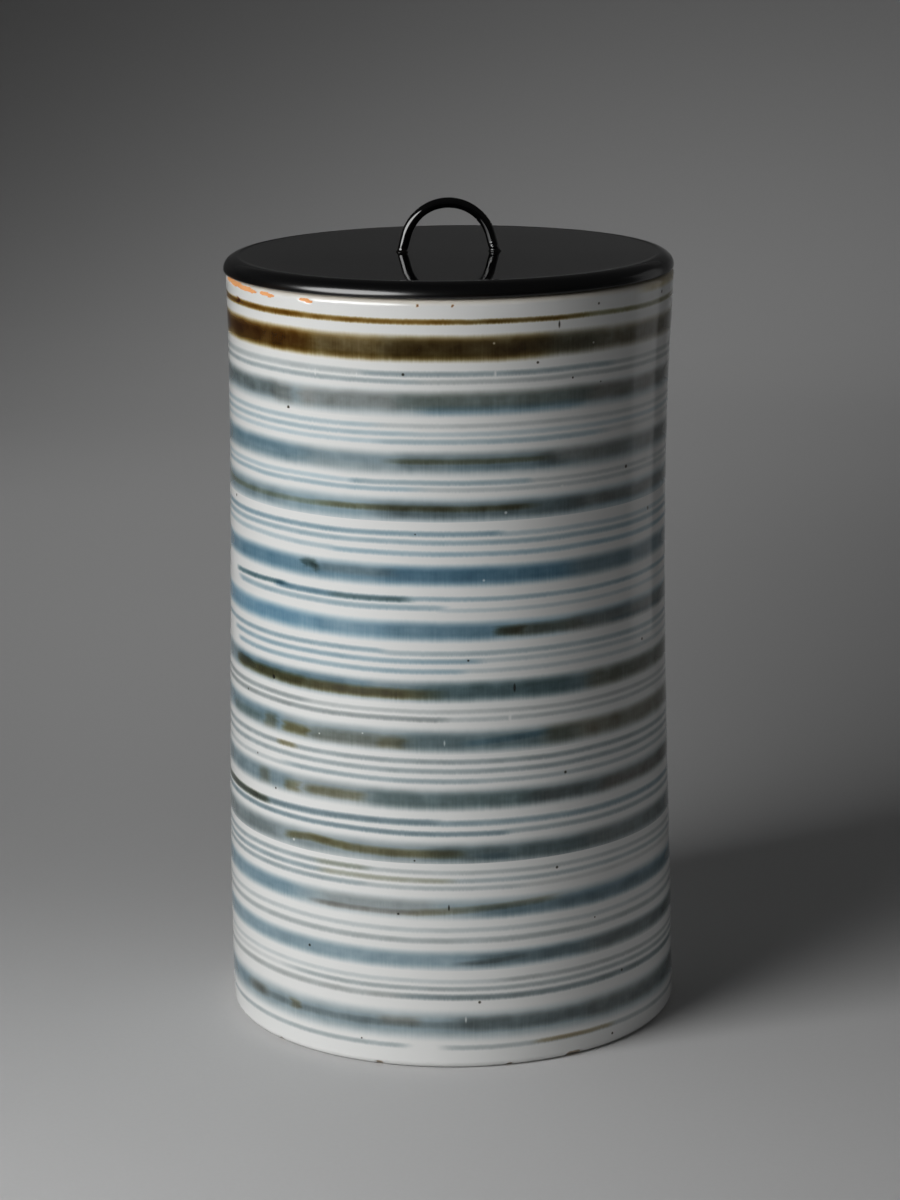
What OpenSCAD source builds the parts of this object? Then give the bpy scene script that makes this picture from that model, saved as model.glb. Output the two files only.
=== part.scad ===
// A tall, slightly waisted porcelain water jar for the tea room, closed by a flat lacquered lid.
// Millimetres, +Z up. The origin is the middle of the foot, on the surface that the jar stands on.
// The two legs of the handle stand along X.

/* [Jar] */
// Height of the jar, from the surface that it stands on to the top of its rim
jar_height = 225; // [180:1:260]
// Outside diameter of the jar at its rim
rim_diameter = 131.6; // [110:0.2:150]
// How far below the rim the waist lies, where the jar is narrowest
waist_depth = 55; // [40:1:110]
// How far the wall draws in from the rim to the waist
waist_draw = 1; // [0.2:0.1:4]
// How far the wall spreads from the waist to the foot, in an even S curve
foot_spread = 2.6; // [0.2:0.1:6]
// Thickness of the thrown wall
wall = 6; // [4:0.1:9]
// Radius of the inner and the outer edge of the rim
rim_round = 2; // [0.5:0.1:3]
// Thickness of the clay under the inside floor
floor_thickness = 7.5; // [5:0.1:12]
// Radius of the hollow where the inside wall runs into the floor
inside_round = 16; // [6:1:30]

/* [Foot] */
// Radius of the outer edge of the foot
foot_round = 2; // [0.5:0.1:4]
// Width of the flat ring that the jar stands on
foot_ring_width = 7; // [4:0.5:14]
// Depth of the turned recess inside the foot ring
recess_depth = 3.5; // [1.5:0.1:6]
// How far the side of the recess leans in on its way up
recess_lean = 1.5; // [0.2:0.1:4]

/* [Lid] */
// Thickness of the lid panel
lid_thickness = 5; // [3.5:0.1:9]
// How far the lid reaches past the rim
lid_overhang = 0.3; // [0:0.1:4]
// Radius of the upper edge of the lid
lid_upper_round = 3.2; // [1:0.1:5]
// Radius of the lower edge of the lid
lid_lower_round = 1.5; // [0.5:0.1:2]

/* [Locating ring] */
// Gap between the locating ring and the inside of the rim
ring_clearance = 1; // [0.4:0.1:3]
// Width of the locating ring
ring_width = 5; // [3:0.1:10]
// How far the locating ring reaches down into the mouth
ring_height = 6; // [3:0.1:12]
// Radius of the two lower edges of the locating ring
ring_round = 1.2; // [0.3:0.1:2]

/* [Handle] */
// Diameter of the bent rod
rod_diameter = 3; // [2:0.1:5]
// Radius of the arch, to the middle of the rod
arch_radius = 12.8; // [9:0.1:20]
// How far the arch bends to each side of its top, in degrees
arch_bend = 75; // [60:1:88]
// Height of the straight legs, from the lid to the start of the arch
leg_height = 4.8; // [2:0.1:12]
// Step from the surface of the rod in to the tang that goes through the lid
tang_shoulder = 0.3; // [0.1:0.05:0.6]
// Gap around each tang, which glue fills
tang_gap = 0.1; // [0.05:0.05:0.3]

/* [Hidden] */

$fn = 192;
wall_steps = 24;

rim_radius = rim_diameter / 2;
waist_radius = rim_radius - waist_draw;
waist_height = jar_height - waist_depth;
foot_radius = waist_radius + foot_spread;
mouth_radius = rim_radius - wall;

// An edge is never rounded past the thickness that it belongs to
lip_round = min(rim_round, 0.45 * wall);
lower_edge = min(lid_lower_round, 0.3 * lid_thickness);
upper_edge = min(lid_upper_round, 0.65 * lid_thickness);
ring_edge = min(ring_round, 0.45 * ring_width);

// The curved wall runs between the rounded foot and the rounded rim
wall_bottom = foot_round;
wall_top = jar_height - lip_round;
floor_height = recess_depth + floor_thickness;
recess_radius = foot_radius - foot_round - foot_ring_width;

lid_radius = rim_radius + lid_overhang;
lid_bottom = jar_height;
lid_top = lid_bottom + lid_thickness;
ring_outer_radius = mouth_radius - ring_clearance;

leg_splay = 90 - arch_bend;
arch_centre = leg_height - arch_radius * cos(arch_bend);
leg_foot = arch_radius * sin(arch_bend) + leg_height * tan(leg_splay);
tang_diameter = rod_diameter - 2 * tang_shoulder;
// Bending thins the rod a little, so each leg laps over the thinner end of the arch
bend_thinning = 0.04;
leg_lap = 0.2;

// Outside radius of the thrown wall at a height
function wall_radius(z) = z > waist_height
    ? waist_radius + waist_draw * pow((z - waist_height) / (wall_top - waist_height), 2)
    : waist_radius + foot_spread * (1 + cos(180 * (z - wall_bottom) / (waist_height - wall_bottom))) / 2;

// A quarter of a disc, in the first quadrant
module quarter_disc(radius) {
    intersection() {
        circle(radius);
        square(2 * radius);
    }
}

// A bar between two radii whose upper corners are rounded
module round_topped_bar(inner, outer, height, radius) {
    translate([inner + radius, 0]) square([outer - inner - 2 * radius, height]);
    if (height > radius) translate([inner, 0]) square([outer - inner, height - radius]);
    translate([inner + radius, height - radius]) mirror([1, 0]) quarter_disc(radius);
    translate([outer - radius, height - radius]) quarter_disc(radius);
}

// The area between the axis and the curved wall, set in from its outside
module inside_of_wall(inset, bottom, top) {
    wall_points = [
        for (i = [0 : wall_steps])
            let (z = bottom + (top - bottom) * i / wall_steps)
            [wall_radius(z) - inset, z]
    ];
    polygon(concat([[0, bottom]], wall_points, [[0, top]]));
}

// The strip under the curved wall, with the rounded outer edge of the foot
module foot_profile() {
    square([foot_radius - foot_round, foot_round]);
    translate([foot_radius - foot_round, foot_round]) mirror([0, 1]) quarter_disc(foot_round);
}

// The hollow of the jar, up to where its rim starts to round over
module cavity_profile() {
    corner_height = floor_height + inside_round;
    corner_radius = wall_radius(corner_height) - wall - inside_round;
    inside_of_wall(wall, corner_height, wall_top);
    translate([0, floor_height]) square([corner_radius, inside_round]);
    translate([corner_radius, corner_height]) mirror([0, 1]) quarter_disc(inside_round);
}

// The shallow recess that is turned out of the underside
module recess_profile() {
    polygon([
        [0, 0],
        [recess_radius, 0],
        [recess_radius - recess_lean, recess_depth],
        [0, recess_depth]
    ]);
}

module jar() {
    color("whitesmoke") rotate_extrude() {
        difference() {
            union() {
                inside_of_wall(0, wall_bottom, wall_top);
                foot_profile();
            }
            cavity_profile();
            recess_profile();
        }
        translate([0, wall_top]) round_topped_bar(mouth_radius, rim_radius, lip_round, lip_round);
    }
}

// Half of the lid's section: flat faces, a full upper edge and a tighter lower one
module lid_profile() {
    square([lid_radius - upper_edge, lid_thickness]);
    square([lid_radius - lower_edge, lower_edge]);
    translate([0, lower_edge]) square([lid_radius, lid_thickness - lower_edge - upper_edge]);
    translate([lid_radius - upper_edge, lid_thickness - upper_edge]) quarter_disc(upper_edge);
    translate([lid_radius - lower_edge, lower_edge]) mirror([0, 1]) quarter_disc(lower_edge);
}

module lid_panel() {
    color([0.08, 0.08, 0.08]) translate([0, 0, lid_bottom]) difference() {
        rotate_extrude() lid_profile();
        for (side = [-1, 1])
            translate([side * leg_foot, 0, -lid_thickness])
                cylinder(d = tang_diameter + 2 * tang_gap, h = 3 * lid_thickness);
    }
}

module locating_ring() {
    color([0.12, 0.1, 0.09]) translate([0, 0, lid_bottom]) mirror([0, 0, 1]) rotate_extrude()
        round_topped_bar(ring_outer_radius - ring_width, ring_outer_radius, ring_height, ring_edge);
}

// One straight leg, lapped over the end of the arch and running just past the lid's surface
module leg(side) {
    leg_length = leg_height / cos(leg_splay) + rod_diameter;
    translate([side * arch_radius * sin(arch_bend), 0, leg_height])
        rotate([0, side * (180 - leg_splay), 0])
            translate([0, 0, -leg_lap]) cylinder(d = rod_diameter, h = leg_length);
}

module handle_loop() {
    color([0.05, 0.05, 0.05]) translate([0, 0, lid_top]) {
        difference() {
            union() {
                translate([0, 0, arch_centre]) rotate([90, 0, 0]) rotate([0, 0, leg_splay])
                    rotate_extrude(angle = 2 * arch_bend)
                        translate([arch_radius, 0]) circle(d = rod_diameter - bend_thinning);
                for (side = [-1, 1]) leg(side);
            }
            // The feet are cut level with the top of the lid
            translate([-2 * leg_foot, -rod_diameter, -2 * rod_diameter])
                cube([4 * leg_foot, 2 * rod_diameter, 2 * rod_diameter]);
        }
        // Each tang starts inside its leg, as far up as its shoulder is wide
        for (side = [-1, 1])
            translate([side * leg_foot, 0, -lid_thickness])
                cylinder(d = tang_diameter, h = lid_thickness + tang_shoulder);
    }
}

jar();
lid_panel();
locating_ring();
handle_loop();
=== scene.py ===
import math
from typing import NamedTuple

import bpy
import numpy as np
from mathutils import Matrix, Vector


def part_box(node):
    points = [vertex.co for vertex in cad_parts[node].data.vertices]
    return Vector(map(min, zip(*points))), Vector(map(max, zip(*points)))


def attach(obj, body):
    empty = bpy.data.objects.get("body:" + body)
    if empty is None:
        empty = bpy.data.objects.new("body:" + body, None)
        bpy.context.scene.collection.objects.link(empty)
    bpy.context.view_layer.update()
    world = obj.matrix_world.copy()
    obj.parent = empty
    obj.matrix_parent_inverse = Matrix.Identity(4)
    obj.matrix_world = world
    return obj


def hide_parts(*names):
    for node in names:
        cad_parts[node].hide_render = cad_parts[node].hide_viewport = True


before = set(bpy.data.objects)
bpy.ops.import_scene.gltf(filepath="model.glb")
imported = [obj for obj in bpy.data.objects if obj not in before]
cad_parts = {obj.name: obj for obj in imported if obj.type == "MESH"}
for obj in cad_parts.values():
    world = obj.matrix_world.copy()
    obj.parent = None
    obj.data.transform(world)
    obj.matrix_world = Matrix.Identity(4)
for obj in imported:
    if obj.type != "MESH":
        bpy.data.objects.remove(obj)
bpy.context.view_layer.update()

MM = 0.001


# Sizes taken from the frame
def half_width(node):
    low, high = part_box(node)
    return (high.x - low.x) / 2 / MM


def bottom_and_top(node):
    low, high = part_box(node)
    return low.z / MM, high.z / MM


FOOT_RADIUS = half_width("jar")
LID_RADIUS = half_width("lid_panel")
RING_RADIUS = half_width("locating_ring")
# The rim and the lid lie a little lower in the photograph than in the frame, and lower at the left
RIM_DROP = 0.6
LID_DROP = 1.15
LID_LEAN = 0.0035
JAR_TOP = bottom_and_top("jar")[1] - RIM_DROP
LID_BOTTOM = bottom_and_top("lid_panel")[0] - RIM_DROP
LID_TOP = bottom_and_top("lid_panel")[1] - LID_DROP
RING_BOTTOM, RING_TOP = (height - RIM_DROP for height in bottom_and_top("locating_ring"))

# The jar
LID_OVERHANG = 0.3
RIM_RADIUS = LID_RADIUS - LID_OVERHANG
WAIST_DRAW = 1.0
WAIST_RADIUS = RIM_RADIUS - WAIST_DRAW
WAIST_HEIGHT = 170
FOOT_SPREAD = FOOT_RADIUS - WAIST_RADIUS
WALL = 6
RIM_ROUND = 2
FOOT_ROUND = 2
FOOT_RING_WIDTH = 7
RECESS_DEPTH = 3.5
RECESS_LEAN = 1.5
RECESS_RADIUS = FOOT_RADIUS - FOOT_ROUND - FOOT_RING_WIDTH
FLOOR_THICKNESS = 7.5
FLOOR_HEIGHT = RECESS_DEPTH + FLOOR_THICKNESS
INSIDE_ROUND = 16
WALL_TOP = JAR_TOP - RIM_ROUND
# The thrown wall bows a little to the left at half its height
BOW = 0.95
BOW_HEIGHT = 100
# The painted rings lie a little higher at the left than at the right
RING_TILT = 0.00286

# The lid and its handle
LID_LOWER_ROUND = 0.6
LID_EDGE_WIDTH = 4.4
LID_EDGE_HEIGHT = LID_TOP - LID_BOTTOM - LID_LOWER_ROUND
RING_WIDTH = 5
RING_ROUND = 1.2
ROD_RADIUS = 1.5
ARCH_RADIUS = 12.8
ARCH_BEND = 75
LEG_SPLAY = 90 - ARCH_BEND
LEG_HEIGHT = 4.8
ARCH_CENTRE = LEG_HEIGHT - ARCH_RADIUS * math.cos(math.radians(ARCH_BEND))
LEG_LENGTH = LEG_HEIGHT / math.cos(math.radians(LEG_SPLAY))
ARCH_FOOT = ARCH_RADIUS * math.sin(math.radians(ARCH_BEND))
LEG_FOOT = ARCH_FOOT + LEG_LENGTH * math.sin(math.radians(LEG_SPLAY))
TANG_RADIUS = 1.2
TANG_HOLE_RADIUS = 1.3

# The outside is painted in zones of height, which meet in the white between two rings
ZONE_EDGES = [29.2, 61.2, 94.0, 126.1, 160.4, 190.8]
PLAIN_ZONE = len(ZONE_EDGES) + 1

# How finely the meshes are cut, with smaller steps up the wall near the foot and the rim
JAR_COLUMNS = 720
LID_COLUMNS = 360
ROD_COLUMNS = 64
LEG_ROWS = 48
ARCH_ROWS = 40
HOLE_COLUMNS = 48
EDGE_LOOP = 0.15
CENTRE_RING = 0.6
FINE_BELOW = 6
FINE_ABOVE = 216
FOOT_STEP = 0.4
WALL_STEP = 1.4
RIM_STEP = 0.35
INSIDE_STEP = 1.5


# Mesh building
def smooth_step(low, high, value):
    """0 below low and 1 above high, with a soft rise between them."""
    share = np.clip((value - low) / (high - low), 0, 1)
    return share * share * (3 - 2 * share)


def hump(value, middle, width):
    """1 at the middle, falling softly to 0 on both sides."""
    return np.exp(-((value - middle) / width) ** 2)


def line(start, end, step):
    """Points about a step apart, with one more close to each end to keep the corner crisp."""
    start = np.array(start, float)
    end = np.array(end, float)
    length = np.linalg.norm(end - start)
    count = max(2, round(length / step))
    shares = np.linspace(0, 1, count + 1)
    if length > 4 * EDGE_LOOP:
        shares = np.concatenate([[0, EDGE_LOOP / length], shares[1:-1], [1 - EDGE_LOOP / length, 1]])
    return start + np.sort(shares)[:, None] * (end - start)


def arc(centre, radius, start, end, steps):
    """Points along an arc of one radius or of two. Its angles run from the outward direction up."""
    angles = np.radians(np.linspace(start, end, steps + 1))
    return np.array(centre) + radius * np.stack([np.cos(angles), np.sin(angles)], axis=1)


def joined(stretches):
    """The points of named stretches one after another, without the point that two stretches share."""
    points = []
    names = []
    for name, stretch in stretches:
        for point in stretch:
            if points and np.allclose(point, points[-1], atol=1e-6):
                continue
            points.append(point)
            names.append(name)
    return np.array(points), np.array(names)


def around(columns):
    """Angles of the columns of a turned mesh."""
    return np.linspace(-180, 180, columns, endpoint=False)


def turned(radius, height, angle, shift=0.0):
    """Points at a radius, height and angle round the axis, shifted sideways."""
    turn = np.radians(angle)
    return np.stack([radius * np.sin(turn) + shift, -radius * np.cos(turn), height + 0 * turn], axis=-1)


def leaned(points):
    """Points of the lid, which lies a little lower at the left."""
    return points + LID_LEAN * points[..., :1] * [0, 0, 1]


def skin(name, rows, ring=False, capped=True):
    """A mesh over rows of points that each close round. A ring's last row meets its first, and other
    meshes are closed by a fan at each end unless they stay open."""
    count, columns = rows.shape[:2]
    index = np.arange(count * columns).reshape(count, columns)
    following = np.roll(index, -1, axis=1)
    below = index if ring else index[:-1]
    above = np.roll(index, -1, axis=0) if ring else index[1:]
    below_next = following if ring else following[:-1]
    above_next = np.roll(following, -1, axis=0) if ring else following[1:]
    faces = np.stack([below, below_next, above_next, above], axis=-1).reshape(-1, 4).tolist()
    points = rows.reshape(-1, 3)
    if capped and not ring:
        first_centre = len(points)
        last_centre = first_centre + 1
        points = np.concatenate([points, rows[0].mean(0)[None], rows[-1].mean(0)[None]])
        faces += [(first_centre, b, a) for a, b in zip(index[0].tolist(), following[0].tolist())]
        faces += [(a, b, last_centre) for a, b in zip(index[-1].tolist(), following[-1].tolist())]
    mesh = bpy.data.meshes.new(name)
    mesh.from_pydata((points * MM).tolist(), [], faces)
    mesh.polygons.foreach_set("use_smooth", np.ones(len(faces), bool))
    mesh.update()
    return mesh


def add_piece(mesh, materials, body, node):
    """Puts a mesh in the scene as a piece that stands for a node of the frame."""
    piece = bpy.data.objects.new(mesh.name, mesh)
    bpy.context.scene.collection.objects.link(piece)
    for material in materials:
        mesh.materials.append(material)
    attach(piece, body)
    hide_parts(node)
    return piece


# The jar's shape, with the depths and pitches of the marks of throwing and turning
BROAD_MARK = 0.04
FINE_MARK = 0.03
FINGER_MARK = 0.16
FINGER_PITCH = 8.5
FINGER_START = 6
FINGER_FULL = 30
FINGER_END = 14
FLOOR_MARK = 0.14
FLOOR_PITCH = 6.5
TURNING_MARK = 0.05
TURNING_PITCH = 1.7

# How far the jar is from round, and its rim from level
OVAL = 0.10
THREE_SIDED = 0.05
RIM_DIP = 0.09
RIM_RIPPLE = 0.05
RIM_DIP_DEPTH = 8


class Chip(NamedTuple):
    """A place where the glaze has come off, with its sizes along the wall."""
    angle: float
    height: float
    half_length: float
    half_height: float


RIM_FLAKES = [
    Chip(-78, 223.4, 6.5, 0.75),
    Chip(-71, 223.1, 7, 0.8),
    Chip(-64, 222.8, 6.5, 0.8),
    Chip(-59.5, 222.5, 3.2, 0.6),
    Chip(-53.4, 222.7, 2.8, 0.65),
    Chip(-51, 222.4, 2.4, 0.6),
    Chip(-38.6, 222.6, 2.2, 0.55),
    Chip(-37, 222.2, 1.6, 0.5),
    Chip(104, 223.2, 8, 0.5),
    Chip(118, 223.0, 4.5, 0.6),
    Chip(163, 222.8, 2.4, 0.5),
    Chip(-128, 223.1, 5.5, 0.55),
]
FOOT_CHIPS = [
    Chip(-19, 0.5, 1.2, 0.8),
    Chip(31.5, 0.6, 2.8, 1.0),
    Chip(-50, 0.4, 0.9, 0.8),
    Chip(14, 0.4, 0.8, 0.7),
    Chip(97, 0.5, 1.6, 0.9),
    Chip(152, 0.4, 1.0, 0.8),
    Chip(-141, 0.6, 2.2, 1.0),
    Chip(-98, 0.4, 0.9, 0.7),
]
FLAKE_DEPTH = 0.3
FOOT_CHIP_DEPTH = 0.7
FOOT_CHIP_TOP = 3

# How ragged the edge of a chip is, and where it fades, in shares of its size
CHIP_RAGGED = 0.09
CHIP_RIPPLE = 0.06
CHIP_CORE = 0.7
CHIP_OUTSIDE = 1.05


def wall_radius(height):
    """Outside radius of the thrown wall at a height."""
    above = np.clip((height - WAIST_HEIGHT) / (WALL_TOP - WAIST_HEIGHT), 0, 1)
    below = np.clip((height - FOOT_ROUND) / (WAIST_HEIGHT - FOOT_ROUND), 0, 1)
    return WAIST_RADIUS + WAIST_DRAW * above ** 2 + FOOT_SPREAD * (1 + np.cos(math.pi * below)) / 2


def bow(height):
    """How far the wall bows to the side at a height."""
    return BOW * (((height - BOW_HEIGHT) / BOW_HEIGHT) ** 2 - 1)


def chipped(chips, angle, height):
    """1 inside a chip and 0 outside, with an uneven edge."""
    mask = np.zeros(np.broadcast(angle, height).shape)
    for chip in chips:
        across = np.radians(angle - chip.angle) * RIM_RADIUS / chip.half_length
        up = (height - chip.height) / chip.half_height
        ragged = CHIP_RAGGED * np.sin(5.3 * across + 2 * up) + CHIP_RIPPLE * np.sin(13 * across - 3 * up)
        inside = 1 - smooth_step(CHIP_CORE, CHIP_OUTSIDE, np.hypot(across, up) + ragged)
        mask = np.maximum(mask, inside)
    return mask


def jar_profile():
    """The jar's rings, from the middle of its underside up the outside and down the inside."""
    corner_height = FLOOR_HEIGHT + INSIDE_ROUND
    corner_radius = wall_radius(corner_height) - WALL - INSIDE_ROUND
    recess_edge = RECESS_RADIUS - RECESS_LEAN
    foot_edge = FOOT_RADIUS - FOOT_ROUND
    rim_outer = RIM_RADIUS - RIM_ROUND
    rim_inner = RIM_RADIUS - WALL + RIM_ROUND
    outside_wall = np.concatenate([
        np.arange(FOOT_ROUND, FINE_BELOW, FOOT_STEP),
        np.arange(FINE_BELOW, FINE_ABOVE, WALL_STEP),
        np.arange(FINE_ABOVE, WALL_TOP, RIM_STEP),
    ])
    inside_wall = np.arange(WALL_TOP, corner_height, -INSIDE_STEP)
    stretches = [
        ("recess", line((CENTRE_RING, RECESS_DEPTH), (recess_edge, RECESS_DEPTH), step=0.8)),
        ("recess", line((recess_edge, RECESS_DEPTH), (RECESS_RADIUS, 0), step=0.6)),
        ("foot", line((RECESS_RADIUS, 0), (foot_edge, 0), step=0.7)),
        ("outside", arc((foot_edge, FOOT_ROUND), FOOT_ROUND, -90, 0, steps=14)),
        ("outside", np.stack([wall_radius(outside_wall), outside_wall], axis=1)),
        ("outside", arc((rim_outer, WALL_TOP), RIM_ROUND, 0, 90, steps=14)),
        ("rim", line((rim_outer, JAR_TOP), (rim_inner, JAR_TOP), step=0.5)),
        ("inside", arc((rim_inner, WALL_TOP), RIM_ROUND, 90, 180, steps=12)),
        ("inside", np.stack([wall_radius(inside_wall) - WALL, inside_wall], axis=1)),
        ("inside", arc((corner_radius, corner_height), INSIDE_ROUND, 0, -90, steps=18)),
        ("floor", line((corner_radius, FLOOR_HEIGHT), (CENTRE_RING, FLOOR_HEIGHT), step=1.0)),
    ]
    return joined(stretches)


def jar_mesh():
    """The jar with its throwing marks, its slight bow and its chips."""
    profile, zone = jar_profile()
    angle = around(JAR_COLUMNS)[None, :]
    turn = np.radians(angle)
    radius = profile[:, :1] + 0 * turn
    height = profile[:, 1:] + 0 * turn
    share_up = height / JAR_TOP
    outside = (zone == "outside")[:, None]
    inside = (zone == "inside")[:, None]

    # The outside is turned smooth, the inside keeps the spiral of the potter's fingers
    broad_marks = BROAD_MARK * np.sin(height / 4.7 + np.sin(turn))
    fine_marks = FINE_MARK * np.sin(height / 1.9 + 2 * turn)
    smooth_marks = broad_marks + fine_marks
    finger_marks = FINGER_MARK * np.sin(2 * math.pi * (height / FINGER_PITCH + angle / 360))
    above_floor = smooth_step(FLOOR_HEIGHT + FINGER_START, FLOOR_HEIGHT + FINGER_FULL, height)
    below_rim = smooth_step(WALL_TOP, WALL_TOP - FINGER_END, height)
    finger_fade = above_floor * below_rim
    floor_spiral = np.sin(2 * math.pi * (radius / FLOOR_PITCH - angle / 360))
    floor_marks = FLOOR_MARK * floor_spiral * smooth_step(1, 6, radius)
    turning_rings = np.sin(2 * math.pi * radius / TURNING_PITCH)
    turning_marks = TURNING_MARK * turning_rings * smooth_step(1, 4, radius)
    out_of_round = OVAL * np.cos(2 * turn + 0.7) + THREE_SIDED * np.cos(3 * turn - 0.4)
    low_rim = RIM_DIP * (1 + np.sin(2 * turn + 1)) + RIM_RIPPLE * (1 + np.sin(5 * turn))

    flakes = chipped(RIM_FLAKES, angle, height) * outside
    foot_chips = chipped(FOOT_CHIPS, angle, height) * (height < FOOT_CHIP_TOP)

    radius = radius + outside * smooth_marks * smooth_step(1, 8, height)
    radius = radius + inside * finger_marks * finger_fade + share_up * out_of_round
    radius = radius - FLAKE_DEPTH * flakes - FOOT_CHIP_DEPTH * foot_chips
    height = height + (zone == "floor")[:, None] * floor_marks
    height = height + (zone == "recess")[:, None] * turning_marks
    rim_lean = LID_LEAN * RIM_RADIUS * np.sin(turn)
    height = height + (rim_lean - low_rim) * smooth_step(JAR_TOP - RIM_DIP_DEPTH, JAR_TOP, height)
    height = np.maximum(height, 0)

    mesh = skin("painted_jar", turned(radius, height, angle, bow(height)))
    bare = np.maximum(np.maximum(flakes, foot_chips), (zone == "foot")[:, None])
    bare_points = np.zeros(len(mesh.vertices), np.float32)
    bare_points[:bare.size] = bare.ravel()
    mesh.attributes.new("bare", "FLOAT", "POINT").data.foreach_set("value", bare_points)

    # Each row of faces takes the material of its zone, and all but the outside is plain
    row_zones = np.where(zone == "outside", np.digitize(profile[:, 1], ZONE_EDGES), PLAIN_ZONE)[:-1]
    face_zones = np.full(len(mesh.polygons), PLAIN_ZONE)
    face_zones[:row_zones.size * JAR_COLUMNS] = np.repeat(row_zones, JAR_COLUMNS)
    mesh.polygons.foreach_set("material_index", face_zones)
    return mesh


# The lid's shapes, with what waves and wear take off
LID_OVAL = 0.03
LID_RIPPLE = 0.02
LID_SAG = 0.08
LID_WAVE = 0.016
LID_CROSS_WAVE = 0.014
LID_TOP_WEAR = 0.03
LID_EDGE_WEAR = 0.05
RING_WEAR = 0.04
RING_RIPPLE = 0.03
ROD_RIPPLE = 0.03


def lid_mesh():
    """The lid panel, a board turned on the lathe, with the slight waves of hand-laid lacquer."""
    side_bottom = LID_BOTTOM + LID_LOWER_ROUND
    flat_radius = LID_RADIUS - LID_EDGE_WIDTH
    under_radius = LID_RADIUS - LID_LOWER_ROUND
    edge_radii = np.array((LID_EDGE_WIDTH, LID_EDGE_HEIGHT))
    profile, zone = joined([
        ("under", line((CENTRE_RING, LID_BOTTOM), (under_radius, LID_BOTTOM), step=1.2)),
        ("edge", arc((under_radius, side_bottom), LID_LOWER_ROUND, -90, 0, steps=12)),
        ("edge", arc((flat_radius, side_bottom), edge_radii, 0, 90, steps=20)),
        ("top", line((flat_radius, LID_TOP), (CENTRE_RING, LID_TOP), step=1.2)),
    ])
    angle = around(LID_COLUMNS)[None, :]
    turn = np.radians(angle)
    radius = profile[:, :1] + 0 * turn
    height = profile[:, 1:] + 0 * turn
    x = radius * np.sin(turn)
    y = -radius * np.cos(turn)
    waves = LID_WAVE * np.sin(x / 11 + 0.4 * np.sin(y / 13))
    cross_waves = LID_CROSS_WAVE * np.sin(y / 9 - 1 + 0.5 * np.sin(x / 17))
    sag = LID_SAG * (radius / LID_RADIUS) ** 2
    height = height - (zone == "top")[:, None] * (sag + LID_TOP_WEAR + waves + cross_waves)
    height = height - (zone == "edge")[:, None] * LID_EDGE_WEAR
    height = np.maximum(height, LID_BOTTOM)
    radius = radius + LID_OVAL * np.cos(2 * turn + 1) + LID_RIPPLE * np.cos(5 * turn)
    return skin("lacquered_lid", leaned(turned(radius, height, angle)))


def drill_tang_holes(lid):
    """Cuts the two holes that the tangs of the handle go through."""
    past_lid = 2
    cutters = []
    for side in (-1, 1):
        angle = around(HOLE_COLUMNS)[None, :]
        height = np.array([LID_BOTTOM - past_lid, LID_TOP + past_lid])[:, None]
        rows = turned(TANG_HOLE_RADIUS + 0 * height, height, angle, side * LEG_FOOT)
        cutter_mesh = skin("tang_hole_cutter", rows)
        cutter = bpy.data.objects.new(cutter_mesh.name, cutter_mesh)
        bpy.context.scene.collection.objects.link(cutter)
        modifier = lid.modifiers.new("tang_hole", "BOOLEAN")
        modifier.operation = "DIFFERENCE"
        modifier.solver = "EXACT"
        modifier.object = cutter
        cutters.append(cutter)
    bpy.context.view_layer.update()
    drilled_lid = lid.evaluated_get(bpy.context.evaluated_depsgraph_get())
    drilled = bpy.data.meshes.new_from_object(drilled_lid)
    lid.modifiers.clear()
    lid.data = drilled
    for cutter in cutters:
        bpy.data.objects.remove(cutter)


def locating_ring_mesh():
    """The wooden ring under the lid, with softened lower edges."""
    inner = RING_RADIUS - RING_WIDTH
    flat_inner = inner + RING_ROUND
    flat_outer = RING_RADIUS - RING_ROUND
    side_bottom = RING_BOTTOM + RING_ROUND
    profile, _ = joined([
        ("bottom", line((flat_inner, RING_BOTTOM), (flat_outer, RING_BOTTOM), step=0.6)),
        ("outer", arc((flat_outer, side_bottom), RING_ROUND, -90, 0, steps=10)),
        ("outer", line((RING_RADIUS, side_bottom), (RING_RADIUS, RING_TOP), step=0.6)),
        ("top", line((RING_RADIUS, RING_TOP), (inner, RING_TOP), step=0.8)),
        ("inner", line((inner, RING_TOP), (inner, side_bottom), step=0.6)),
        ("inner", arc((flat_inner, side_bottom), RING_ROUND, 180, 270, steps=10)[:-1]),
    ])
    angle = around(LID_COLUMNS)[None, :]
    turn = np.radians(angle)
    height = profile[:, 1:] + 0 * turn
    worn = smooth_step(RING_TOP - 1, RING_BOTTOM, height)
    radius = profile[:, :1] + RING_WEAR * worn * np.sin(3 * turn + height / 2)
    radius = radius + RING_RIPPLE * worn * np.sin(7 * turn)
    return skin("lid_locating_ring", leaned(turned(radius, height, angle)), ring=True)


def rod_rows(x, above, tilt, thickness, turn):
    """Rows of points round the middle line of the rod, which lies in the plane of the handle."""
    tilt = np.radians(tilt)
    across = thickness * np.cos(turn)
    deep = thickness * np.sin(turn)
    height = LID_TOP + above + across * np.sin(tilt)
    return np.stack([x + across * np.cos(tilt), deep, height], axis=-1)


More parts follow.
